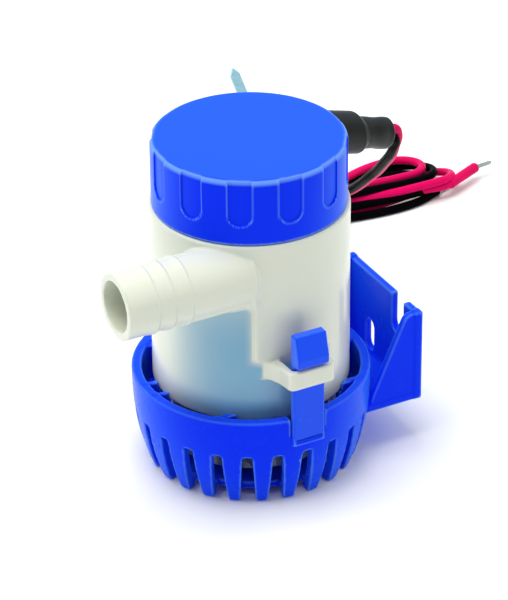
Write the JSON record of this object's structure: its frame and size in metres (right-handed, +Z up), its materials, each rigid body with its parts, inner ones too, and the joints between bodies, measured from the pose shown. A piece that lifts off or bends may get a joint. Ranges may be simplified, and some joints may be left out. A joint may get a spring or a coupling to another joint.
{
  "type": "bilge pump",
  "caption": "Small cartridge bilge pump: white cylinder with side hose barb, blue cap, slotted snap-in strainer with screw bracket, and tied red and black leads.",
  "frame": {"origin": "centre of the strainer's foot ring, on the surface the pump stands on", "axes": "+Z up along the motor shaft, +Y out of the bracket's mounting face, +X through the front latch; the hose barb points along -Y"},
  "size_m": [0.1723, 0.2049, 0.1041],
  "materials": {
    "strainer_plastic": "glossy moulded plastic",
    "cap_plastic": "satin moulded plastic",
    "housing_plastic": "glossy, slightly translucent moulded plastic",
    "shrink_boot": "heat-shrink tube, satin",
    "seal_rubber": "matt",
    "motor_steel": "zinc plated",
    "magnet": "sintered, matt",
    "motor_plastic": "matt",
    "carbon": "matt",
    "copper": "bare copper",
    "bronze": "sintered, oiled",
    "red_pvc": "glossy wire insulation",
    "black_pvc": "glossy wire insulation",
    "tie_nylon": "semi-clear nylon",
    "tinned_copper": "tinned strands"
  },
  "bodies": {
    "base": {"strainer_base": "strainer_plastic", "red_lead": "red_pvc", "black_lead": "black_pvc", "lead_hank": "black_pvc", "cable_tie": "tie_nylon", "red_end_sleeve": "red_pvc", "red_wire_tip": "tinned_copper", "black_wire_tip": "tinned_copper"},
    "pump": {"pump_housing": "housing_plastic", "barb_pipe": "housing_plastic", "intake_plate": "housing_plastic", "motor_cap": "cap_plastic", "cap_seal": "seal_rubber", "cable_boot": "shrink_boot", "cable_gland": "seal_rubber", "motor_can": "motor_steel", "stator_magnets": "magnet", "end_bell": "motor_plastic", "brushes": "carbon", "brush_springs": "copper", "terminals": "copper", "lower_bearing": "bronze", "upper_bearing": "bronze", "motor_screws": "motor_steel", "shaft_seal": "seal_rubber", "inner_red_wire": "red_pvc", "inner_black_wire": "black_pvc"},
    "rotor": {"motor_shaft": "motor_steel", "impeller": "motor_plastic", "armature_core": "motor_steel", "armature_windings": "copper", "commutator": "copper"},
    "front_latch": {"latch_front": "strainer_plastic"},
    "rear_latch": {"latch_rear": "strainer_plastic"}
  },
  "joints": [
    {"name": "pump_lift", "type": "slide", "parent": "base", "child": "pump", "axis": [0, 0, 1], "range_m": [0, 0.03], "deforming": ["red_lead", "black_lead", "latch_front", "latch_rear"]},
    {"name": "rotor_spin", "type": "hinge", "parent": "pump", "child": "rotor", "pos_m": [0, 0, 0.04], "axis": [0, 0, 1], "continuous": true},
    {"name": "latch_front_flex", "type": "hinge", "parent": "base", "child": "front_latch", "pos_m": [0.035, 0, 0.024], "axis": [0, -1, 0], "range_deg": [0, 6.5], "stiffness_Nm_per_rad": 2},
    {"name": "latch_rear_flex", "type": "hinge", "parent": "base", "child": "rear_latch", "pos_m": [-0.035, 0, 0.024], "axis": [0, 1, 0], "range_deg": [0, 6.5], "stiffness_Nm_per_rad": 2}
  ]
}
